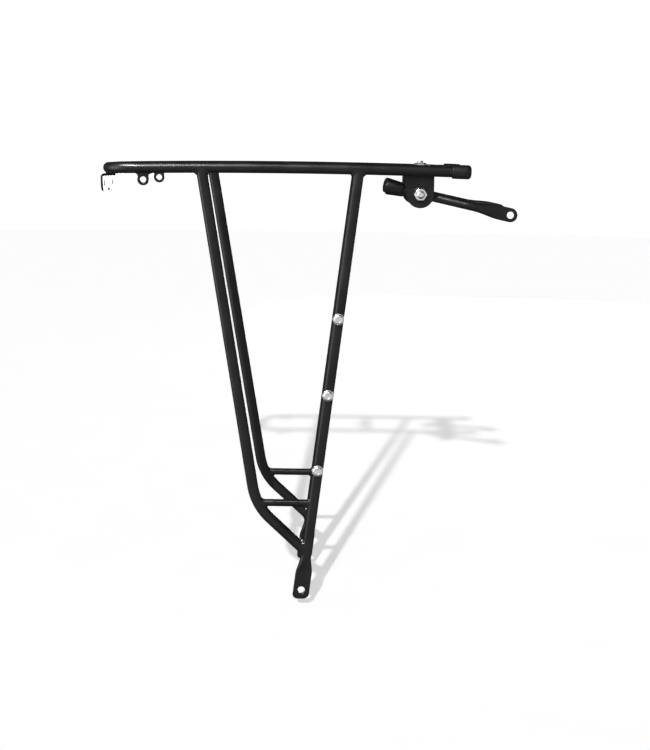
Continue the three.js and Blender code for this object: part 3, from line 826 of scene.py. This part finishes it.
def front_leg_axis(side):
    return side_point(front_leg_x(200), 200, side) - side_point(front_leg_x(100), 100, side)


def tube_weld(main_place, main_axis, branch_axis):
    """Bead round the end of a main tube that meets another main tube."""
    return saddle_weld(main_place, main_axis, TUBE_R, main_place, branch_axis, TUBE_R - WELD_FIT, WELD_LEG)


def brace_weld(place, leg_axis, brace_axis):
    return saddle_weld(place, leg_axis, TUBE_R, place, brace_axis, BRACE_R, BRACE_WELD_LEG)


def leg_welds(name, side):
    leg = rear_leg_points(side)
    front_axis = front_leg_axis(side)
    front_top = side_point(FRONT_LEG_TOP_X, deck_z(FRONT_LEG_TOP_X), side)
    add_weld(name + "_rear_leg_top", tube_weld(leg[0], FORWARD, leg[1] - leg[0]))
    add_weld(name + "_front_leg_top", tube_weld(front_top, FORWARD, -front_axis))
    add_weld(name + "_rear_leg_foot", tube_weld(leg[-1], front_axis, leg[-2] - leg[-1]))
    rear_end = side_point(brace_rear_x(side), BRACE_Z, side)
    front_end = side_point(front_leg_x(BRACE_Z), BRACE_Z, side)
    near = min(range(len(leg) - 1), key=lambda i: (leg[i] - rear_end).length)
    brace_axis = front_end - rear_end
    add_weld(name + "_brace_rear", brace_weld(rear_end, leg[near + 1] - leg[near - 1], brace_axis))
    add_weld(name + "_brace_front", brace_weld(front_end, front_axis, -brace_axis))


# ---------------------------------------------------------------- accessory points

def boss_places(side):
    """Where each boss's axis crosses the middle of the front leg."""
    name = "right" if side < 0 else "left"
    places = []
    for index in range(1, BOSS_COUNT + 1):
        z = middle(f"{name}_accessory_boss_{index}").z
        places.append(side_point(front_leg_x(z), z, side))
    return places


def distance_out(node, place):
    """Nearest and farthest distance of a node from a place, measured outward along Y."""
    low, high = corners(node)
    ends = sorted((abs(low.y) - abs(place.y), abs(high.y) - abs(place.y)))
    return ends


def button_screw(tip, seat, top):
    """Button-head screw about Z with a hexagon socket and a rolled thread."""
    height = top - seat
    socket = hexagon(SCREW_SOCKET_FLATS)
    floor = top - SCREW_SOCKET_DEPTH
    rim = SCREW_SOCKET_FLATS / math.sqrt(3) + 0.25
    dome = []
    for i in range(7):
        turn = i / 6 * math.pi / 2
        drop = height * SCREW_DOME_SHARE * (1 - math.cos(turn))
        dome.append((mix(rim, SCREW_HEAD_R, math.sin(turn)), top - drop))
    head = [
        (0, floor - 0.5),
        (socket, floor),
        (socket, top - 0.2),
        *dome,
        (SCREW_HEAD_R, seat + 0.5),
        (SCREW_HEAD_R - 0.3, seat),
        (SCREW_SHANK_R, seat),
        (SCREW_SHANK_R, seat - 0.8),
        (0, seat - 0.8),
    ]
    downward = Matrix.Translation((0, 0, seat)) @ Matrix.Rotation(math.pi, 4, "X")
    shank = placed(thread(0, seat - tip, SCREW_SHANK_R + 0.15, SCREW_PITCH), downward)
    return joined(turned(head, 48), shank)


def make_accessory_points(name, side):
    for index, place in enumerate(boss_places(side), start=1):
        turn = outward(side, place)
        boss, washer, screw = (f"{name}_accessory_{kind}_{index}" for kind in ("boss", "washer", "screw"))
        proud = distance_out(boss, place)[1]
        stand_for(boss, placed(turned_ring(BOSS_BORE_R, BOSS_R, -TUBE_R, proud, 0.35), turn))
        bottom, top = distance_out(washer, place)
        low, high = corners(washer)
        stand_for(washer, placed(turned_ring(BOSS_BORE_R, (high.x - low.x) / 2, bottom, top, 0.2), turn))
        tip, head_top = distance_out(screw, place)
        stand_for(screw, placed(button_screw(tip, top + 0.3, head_top), turn))
        leg_axis = front_leg_axis(side)
        bead = saddle_weld(place, leg_axis, TUBE_R, place, side * LEFT, BOSS_R, BOSS_WELD_LEG, 96)
        add_weld(f"{name}_accessory_boss_{index}", bead)


# ---------------------------------------------------------------- eyelets

def eyelet(tube_distance):
    """Ring in the XY plane whose weld fillets flow into a tube surface at that distance along +Y."""
    fillet_y = tube_distance - EYELET_FILLET_R
    fillet_x = math.sqrt((EYELET_R + EYELET_FILLET_R) ** 2 - fillet_y ** 2)
    touch = math.atan2(fillet_y, fillet_x)
    ring = arc_points((0, 0), EYELET_R, math.pi - touch, 2 * math.pi + touch, 40)
    right = arc_points((fillet_x, fillet_y), EYELET_FILLET_R, math.pi + touch, math.pi / 2, 8)
    left = [(-x, y) for x, y in right[::-1]]
    sunk = tube_distance + 1.2
    outline = ring + right[1:] + [(fillet_x, sunk), (-fillet_x, sunk)] + left[:-1]
    hole = arc_points((0, 0), EYELET_HOLE_R, 0, 2 * math.pi * 39 / 40, 39)
    return plate([outline, hole], EYELET_THICKNESS, 0.6)


def make_eyelets():
    for name in SIDES:
        node = name + "_bungee_eyelet"
        place = middle(node)
        stand_upright = Matrix.Rotation(math.pi / 2, 4, "X")
        tube_distance = deck_z(place.x) - TUBE_R - place.z
        stand_for(node, placed(eyelet(tube_distance), Matrix.Translation(place) @ stand_upright))
    place = middle("fender_eyelet")
    tube_distance = CROSS_TUBE_X - TUBE_R - place.x
    point_forward = Matrix.Rotation(-math.pi / 2, 4, "Z")
    stand_for("fender_eyelet", placed(eyelet(tube_distance), Matrix.Translation(place) @ point_forward))


# ---------------------------------------------------------------- light bracket

def light_bracket():
    """Flat blank drawn in (Y, length up the strip), then folded forward along its upper edge."""
    low, high = corners("light_bracket")
    radius = BRACKET_BEND_R - BRACKET_THICKNESS / 2
    straight = high.z - low.z - BRACKET_BEND_R
    turn = math.pi / 2 * radius
    length = straight + turn + (high.x - low.x - BRACKET_BEND_R)
    half = high.y
    shoulder = straight + turn
    corner = BRACKET_CORNER_R
    scallop_half = math.sqrt(BRACKET_NOTCH_R ** 2 - (BRACKET_NOTCH_R - BRACKET_NOTCH_DEPTH) ** 2)
    scallop = math.asin(scallop_half / BRACKET_NOTCH_R)
    scallop_centre = (0, BRACKET_NOTCH_DEPTH - BRACKET_NOTCH_R)
    flange = BRACKET_FLANGE_HALF_WIDTH
    outer_r = BRACKET_FLANGE_CORNER_R
    inner_r = BRACKET_INNER_CORNER_R
    quarter = math.pi / 2
    right = [
        *arc_points(scallop_centre, BRACKET_NOTCH_R, quarter, quarter - scallop, 8),
        *arc_points((half - corner, corner), corner, -quarter, 0, 12),
        *arc_points((half - outer_r, shoulder - outer_r), outer_r, 0, quarter, 6),
        *arc_points((flange + inner_r, shoulder + inner_r), inner_r, -quarter, -math.pi, 5),
        *arc_points((flange - outer_r, length - outer_r), outer_r, 0, quarter, 6),
    ]
    left = [(-y, s) for y, s in right[::-1]][:-1]
    loops = [right + left]
    for y in (-LIGHT_HOLE_Y, LIGHT_HOLE_Y):
        loops.append(arc_points((y, LIGHT_HOLE_Z - low.z), LIGHT_HOLE_R, 0, 2 * math.pi * 31 / 32, 31))
    blank = plate(loops, BRACKET_THICKNESS, 0.35)
    points, faces = sliced(blank, [straight + turn * i / 8 for i in range(9)])
    folded = []
    for p in points:
        up, forward = fold(p.y, p.z, straight, radius)
        folded.append(Vector((low.x + BRACKET_THICKNESS / 2 + forward, p.x, low.z + up)))
    return folded, faces


def make_light_bracket():
    stand_for("light_bracket", light_bracket())
    top = corners("light_bracket")[1].z
    for name, ahead in (("front", 1), ("rear", -1)):
        x = REAR_END_X + ahead * 3.1
        ends = [Vector((x, y, top + 0.6)) for y in (-24, 24)]
        add_weld("light_bracket_" + name, straight_weld(*ends, 1.1))


# ---------------------------------------------------------------- stay bridge and fender bolt

PIVOT = joint_place("right_stay_swivel")
EYE_Y = abs(PIVOT.y)
BRIDGE_LOW, BRIDGE_HIGH = corners("stay_bridge")


def round_ended(middle_x, reach, radius, steps):
    """Outline with parallel sides whose half-round ends are centred at +reach and -reach."""
    upper = arc_points((middle_x, reach), radius, 0, math.pi, steps)
    lower = arc_points((middle_x, -reach), radius, math.pi, 2 * math.pi, steps)
    return upper + lower


def stay_bridge():
    """Strip with rounded ends, drawn flat in (X, length along it), then folded down at both sides."""
    radius = BRIDGE_BEND_R - BRIDGE_THICKNESS / 2
    outer = BRIDGE_HIGH.y
    straight = outer - BRIDGE_BEND_R
    turn = math.pi / 2 * radius
    half_width = (BRIDGE_HIGH.x - BRIDGE_LOW.x) / 2
    pivot = straight + turn + (BRIDGE_HIGH.z - BRIDGE_BEND_R - PIVOT.z)
    slot_x = middle("fender_bolt").x - PIVOT.x
    slot_end = SLOT_HALF_LENGTH - SLOT_R
    outline = round_ended(0, pivot, half_width, 28)
    slot = round_ended(slot_x, slot_end, SLOT_R, 12)
    loops = [outline, slot]
    for s in (-pivot, pivot):
        loops.append(arc_points((0, s), M6_NUT_BORE_R, 0, 2 * math.pi * 31 / 32, 31))
    blank = plate(loops, BRIDGE_THICKNESS, 0.4)
    folds = [straight + turn * i / 8 for i in range(9)]
    points, faces = sliced(blank, [-s for s in folds] + folds)
    folded = []
    for p in points:
        out, down = fold(abs(p.y), p.z, straight, radius)
        y = math.copysign(out, p.y)
        folded.append(Vector((PIVOT.x + p.x, y, BRIDGE_HIGH.z - BRIDGE_THICKNESS / 2 - down)))
    return folded, faces


def make_bridge():
    stand_for("stay_bridge", stay_bridge())
    for name, side in SIDES.items():
        rail_z = deck_z(PIVOT.x)
        upper = Vector((PIVOT.x, side * (RAIL_Y - 6.0), rail_z + 0.1))
        lower = Vector((PIVOT.x, side * (RAIL_Y - 4.75), rail_z - 3.6))
        for place_name, place, radius in (("upper", upper, 1.7), ("lower", lower, 1.3)):
            ends = [place + FORWARD * x for x in (-10.5, 10.5)]
            add_weld(f"{name}_bridge_{place_name}", straight_weld(*ends, radius))


def hex_bolt(head_bottom, seat, tip):
    """Hexagon bolt about Z, head down, with its corners chamfered and a threaded shank."""
    flats = M6_FLATS
    head = [
        (0, head_bottom),
        (flats / 2 * 0.95, head_bottom),
        (hexagon(flats), hex_end(flats, head_bottom, -1)),
        (hexagon(flats), seat - 0.15),
        (flats / 2 * 0.95, seat),
        (0, seat),
    ]
    return joined(turned(head, 72), thread(seat - 0.5, tip))


def make_fender_bolt():
    low, high = corners("fender_bolt")
    centre = middle("fender_bolt")
    place = Matrix.Translation((centre.x, centre.y, 0))
    stand_for("fender_bolt", placed(hex_bolt(low.z, low.z + M6_HEAD_HEIGHT, high.z), place))
    for node in ("fender_upper_washer", "fender_lower_washer"):
        low, high = corners(node)
        ring = turned_ring(M6_NUT_BORE_R, (high.x - low.x) / 2, low.z, high.z, 0.25)
        stand_for(node, placed(ring, place))
    low, high = corners("fender_nut")
    stand_for("fender_nut", placed(nut(low.z, high.z), place))


# ---------------------------------------------------------------- stays and their clamps

def at_pivot(side):
    """Matrix for parts drawn about the pivot, with X along the stay's slope."""
    return Matrix.Translation((PIVOT.x, side * EYE_Y, PIVOT.z)) @ Matrix.Rotation(STAY_DROP, 4, "Y")


def along_stay(side):
    """Matrix that turns a shape made about Z along the stay's splayed straight run."""
    return Matrix.Rotation(side * STAY_TOE, 4, "Z") @ Matrix.Rotation(math.pi / 2, 4, "Y")


def stay_points(side):
    toe = math.tan(STAY_TOE)
    rear = Vector((STAY_REAR, side * STAY_REAR * toe, 0))
    bend = Vector((STAY_BEND_AT, side * STAY_BEND_AT * toe, 0))
    tip = Vector((STAY_HOLE_AT + STAY_END_R, bend.y, 0))
    arc = rounded_corner(rear, bend, tip, STAY_BEND_R, 8)
    start = arc[-1].x
    pressed = [mix(start, STAY_HOLE_AT, i / 26) for i in range(1, 27)]
    ends = [STAY_HOLE_AT + STAY_END_R * math.sin(math.pi / 2 * i / 14) for i in range(1, 14)]
    straight = [Vector((x, bend.y, 0)) for x in pressed + ends]
    return [rear, rear.lerp(arc[0], 0.5), *arc, *straight]


def stay(side):
    points = stay_points(side)

    def section(i):
        x = points[i].x
        flatness = smoothstep(x, STAY_PRESS_FROM, STAY_FLAT_FROM)
        beyond = max(0.0, x - STAY_HOLE_AT)
        end_half = math.sqrt(max(0.0, STAY_END_R ** 2 - beyond ** 2))
        width = mix(STAY_R, end_half, flatness)
        thickness = mix(STAY_R, STAY_HALF_THICKNESS, flatness)
        return [(up, across) for across, up in stadium(width, thickness)][::-1]

    rod = sweep(points, section, UP)
    hole_place = Vector((STAY_HOLE_AT, points[-1].y, 0))
    rod = cut(rod, placed(hole_cutter(STAY_HOLE_R, STAY_HALF_THICKNESS), outward(side, hole_place)))
    return placed(rod, at_pivot(side))


def eyebolt(side, tip):
    """Eye for the stay, with a threaded shank that points outward."""
    ring = turned_ring(STAY_R + 0.3, EYE_R, -EYE_HALF_WIDTH, EYE_HALF_WIDTH, 0.8)
    eye = placed(ring, along_stay(side))
    shank = placed(thread(EYE_R - 1.5, tip), outward(side, Vector()))
    neck = [
        (0, EYE_R - 1.2),
        (M6_R + 1.2, EYE_R - 1.2),
        (M6_R + 0.5, EYE_R - 0.2),
        (M6_R, EYE_R + 0.5),
        (0, EYE_R + 0.5),
    ]
    collar = placed(turned(neck, 48), outward(side, Vector()))
    return placed(joined(eye, shank, collar), at_pivot(side))


def make_stay(name, side):
    pivot = Vector((PIVOT.x, side * EYE_Y, PIVOT.z))
    tip = distance_out(name + "_eyebolt", pivot)[1]
    stand_for(name + "_stay", stay(side))
    stand_for(name + "_eyebolt", eyebolt(side, tip))
    for node, edge in ((name + "_stay_spacer", 0.3), (name + "_stay_washer", 0.25)):
        bottom, top = distance_out(node, pivot)
        low, high = corners(node)
        ring = turned_ring(M6_NUT_BORE_R, (high.x - low.x) / 2, bottom, top, edge)
        stand_for(node, placed(ring, outward(side, pivot)))
    bottom, top = distance_out(name + "_stay_nut", pivot)
    stand_for(name + "_stay_nut", placed(nut(bottom, top), outward(side, pivot)))


# ---------------------------------------------------------------- rubber caps

def rail_cap(node):
    """Push-on cap with a rolled lip and a rounded closed end."""
    low, high = corners(node)
    length = high.x - low.x
    radius = RAIL_CAP_R
    profile = [
        (0, 3.0),
        (TUBE_R + 0.1, 3.0),
        (TUBE_R + 0.1, 0.4),
        (TUBE_R + 0.35, 0.0),
        *round_edge(radius - 0.1, 0.0, 0.5, 1, -1, 4)[::-1],
        (radius, 1.6),
        (radius - 0.18, 2.1),
        (radius - 0.18, 2.5),
        (radius, 3.0),
        *round_edge(radius, length, 3.4, 1, 1, 10),
        (0, length),
    ]
    slope = math.atan2(deck_z(high.x) - deck_z(low.x), length)
    side = math.copysign(1, low.y)
    move = Matrix.Translation((low.x, side * RAIL_Y, deck_z(low.x)))
    turn = Matrix.Rotation(math.pi / 2 - slope, 4, "Y")
    return placed(turned(profile), move @ turn)


def stay_cap(side):
    """Tapered boot on the rear end of a stay, thicker towards the back."""
    front = STAY_CAP_LENGTH - 2.4
    profile = [
        (0, -2.4),
        (STAY_CAP_REAR_R - 1.4, -2.4),
        (STAY_CAP_REAR_R - 0.6, -2.1),
        (STAY_CAP_REAR_R - 0.1, -1.5),
        (STAY_CAP_REAR_R, -0.6),
        (mix(STAY_CAP_REAR_R, STAY_CAP_FRONT_R, 0.5), mix(-0.6, front, 0.5)),
        (STAY_CAP_FRONT_R + 0.1, front - 1.6),
        (STAY_CAP_FRONT_R, front - 0.5),
        (STAY_CAP_FRONT_R - 0.4, front),
        (STAY_R + 0.4, front),
        (STAY_R + 0.1, front - 0.4),
        (STAY_R + 0.1, front - 3),
        (0, front - 3),
    ]
    place = Matrix.Translation(stay_points(side)[0])
    return placed(turned(profile), at_pivot(side) @ place @ along_stay(side))


# ---------------------------------------------------------------- the whole rack

def make_side(name, side):
    stand_for(name + "_rear_leg", sweep(rear_leg_points(side), lambda i: circle(TUBE_R), LEFT))
    stand_for(name + "_front_leg", front_leg(side))
    stand_for(name + "_leg_brace", leg_brace(side))
    leg_welds(name, side)
    make_accessory_points(name, side)
    make_stay(name, side)
    stand_for(name + "_rail_end_cap", rail_cap(name + "_rail_end_cap"))
    stand_for(name + "_stay_end_cap", stay_cap(side))


make_deck()
make_eyelets()
make_light_bracket()
make_bridge()
make_fender_bolt()
for side_name, side_sign in SIDES.items():
    make_side(side_name, side_sign)


# ---------------------------------------------------------------- floor, light and camera

FLOOR_GAP = 0.012                # metres between the feet and the floor
FLOOR_TONE = 0.82
FLOOR_GLOW = 0.54
WALL_TONE = 0.02
WALL_GLOW = 1.02
WALL_RADIUS = 6.5                # metres
WALL_HEIGHT = 8.0
WALL_SIDES = 64
HORIZON_LIGHT = 0.6             # the surroundings are bright all round and dim above and below
ZENITH_LIGHT = 0.1
HORIZON_BAND = (0.4, 0.7)        # sines of the heights above the band's middle where it fades
BACK_LIGHT = 0.15                # share of the band's light that comes from behind the rack
BACK_BAND = (0.0, 0.45)          # it fades between these sines past the rack's own plane
HORIZON_SHIFT = 0.12             # how far the band's middle lies below the horizon, as a sine
KEY_ELEVATION = 24               # degrees
KEY_BEARING = -6
KEY_STRENGTH = 3.3
KEY_ANGLE = math.radians(1.2)
KEY_DISTANCE = 3.0

# name: elevation and bearing in degrees, distance, (width, height), watts
SOFTBOXES = {
    "rear_softbox": (47, -42, 1.5, (0.9, 0.14), 110),      # the streak along the near rail
    "side_panel": (5, -80, 2.0, (1.2, 1.2), 20),           # lights the rear side of the legs
    "grazing_panel": (0, 171, 3.0, (0.7, 0.9), 20),        # whitens the bracket's face at a low angle
}
CAMERA_PLACE = (0.033, -1.4231, 0.4013)
CAMERA_LENS = 72.9
CAMERA_PITCH = math.radians(8.46)                          # downwards
CAMERA_YAW = math.radians(0.57)
CAMERA_ROLL = math.radians(0.67)


def pale_surface(name, tone, glow):
    """Matt paper, a little mottled, that also glows evenly as a lit studio sweep does."""
    material, tree, shader, place = node_material(name)
    mottle = noise(tree, place, 60, 3)
    tree.links.new(ramp(tree, mottle, [(0.3, tone * 0.97), (0.7, tone)]), shader.inputs["Base Color"])
    tree.links.new(ramp(tree, mottle, [(0.3, 0.99), (0.7, 1.0)]), shader.inputs["Emission Color"])
    shader.inputs["Roughness"].default_value = 0.9
    shader.inputs["Specular IOR Level"].default_value = 0.1
    shader.inputs["Emission Strength"].default_value = glow
    return material


def add_stage(name, corner_points, faces, material):
    mesh = bpy.data.meshes.new(name)
    mesh.from_pydata(corner_points, [], faces)
    mesh.materials.append(material)
    stage = bpy.data.objects.new(name, mesh)
    bpy.context.scene.collection.objects.link(stage)
    stage.visible_glossy = False
    return stage


def make_stage():
    """Floor just under the feet and a round white wall all about it that only the camera sees."""
    level = cad_bounds[0].z - FLOOR_GAP
    turns = [2 * math.pi * k / WALL_SIDES for k in range(WALL_SIDES)]
    foot = [Vector((WALL_RADIUS * math.cos(a), WALL_RADIUS * math.sin(a), level)) for a in turns]
    head = [p + UP * WALL_HEIGHT for p in foot]
    add_stage("floor", foot, [list(range(WALL_SIDES))], pale_surface("pale_floor", FLOOR_TONE, FLOOR_GLOW))
    points, faces = skin([foot, head])
    wall = add_stage("wall", points, faces[:WALL_SIDES], pale_surface("white_wall", WALL_TONE, WALL_GLOW))
    wall.visible_diffuse = False
    wall.visible_shadow = False


def add_lamp(name, kind, elevation, bearing, distance, power):
    """Lamp aimed at the rack's middle; bearing is 0 at the camera's side and grows towards the front."""
    centre = (cad_bounds[0] + cad_bounds[1]) / 2
    up = math.radians(elevation)
    around = math.radians(bearing)
    level = math.cos(up)
    towards = Vector((math.sin(around) * level, -math.cos(around) * level, math.sin(up)))
    light = bpy.data.lights.new(name, kind)
    light.energy = power
    lamp = bpy.data.objects.new(name, light)
    lamp.location = centre + towards * distance
    lamp.rotation_euler = towards.to_track_quat("Z", "Y").to_euler()
    bpy.context.scene.collection.objects.link(lamp)
    return lamp


def add_softbox(name, elevation, bearing, distance, size, power):
    """Rectangular lamp that shows in reflections but leaves the floor evenly lit."""
    lamp = add_lamp(name, "AREA", elevation, bearing, distance, power)
    lamp.data.shape = "RECTANGLE"
    lamp.data.size, lamp.data.size_y = size
    lamp.visible_diffuse = False
    lamp.visible_camera = False
    return lamp


def make_light():
    world = bpy.data.worlds.new("studio")
    world.use_nodes = True
    tree = world.node_tree
    direction = tree.nodes.new("ShaderNodeTexCoord").outputs["Generated"]
    parts = tree.nodes.new("ShaderNodeSeparateXYZ")
    tree.links.new(direction, parts.inputs["Vector"])
    lifted = combined(tree, "ADD", parts.outputs["Z"], HORIZON_SHIFT)
    height = combined(tree, "ABSOLUTE", lifted, 0.0)
    band = remapped(tree, height, HORIZON_LIGHT, ZENITH_LIGHT, *HORIZON_BAND)
    front = remapped(tree, parts.outputs["Y"], 1, BACK_LIGHT, *BACK_BAND)
    brightness = combined(tree, "MULTIPLY", band, front)
    tree.nodes["Background"].inputs["Color"].default_value = (0.98, 0.99, 1.0, 1)
    tree.links.new(brightness, tree.nodes["Background"].inputs["Strength"])
    bpy.context.scene.world = world
    key = add_lamp("key", "SUN", KEY_ELEVATION, KEY_BEARING, KEY_DISTANCE, KEY_STRENGTH)
    key.data.angle = KEY_ANGLE
    key.visible_glossy = False
    for name, settings in SOFTBOXES.items():
        add_softbox(name, *settings)


def make_camera():
    """Camera at about the deck's height, nearly square to the rack's right side, looking slightly down."""
    pitch = CAMERA_PITCH
    yaw = CAMERA_YAW
    roll = CAMERA_ROLL
    look = Vector((-math.sin(yaw) * math.cos(pitch), math.cos(yaw) * math.cos(pitch), -math.sin(pitch)))
    level_right = Vector((math.cos(yaw), math.sin(yaw), 0))
    level_up = level_right.cross(look)
    right = level_right * math.cos(roll) + level_up * math.sin(roll)
    up = level_up * math.cos(roll) - level_right * math.sin(roll)
    data = bpy.data.cameras.new("camera")
    data.sensor_width = 36
    data.lens = CAMERA_LENS
    camera = bpy.data.objects.new("camera", data)
    turn = Matrix((right, up, -look)).transposed().to_4x4()
    camera.matrix_world = Matrix.Translation(CAMERA_PLACE) @ turn
    bpy.context.scene.collection.objects.link(camera)
    bpy.context.scene.camera = camera


make_stage()
make_light()
make_camera()
bpy.context.scene.view_settings.view_transform = "Standard"
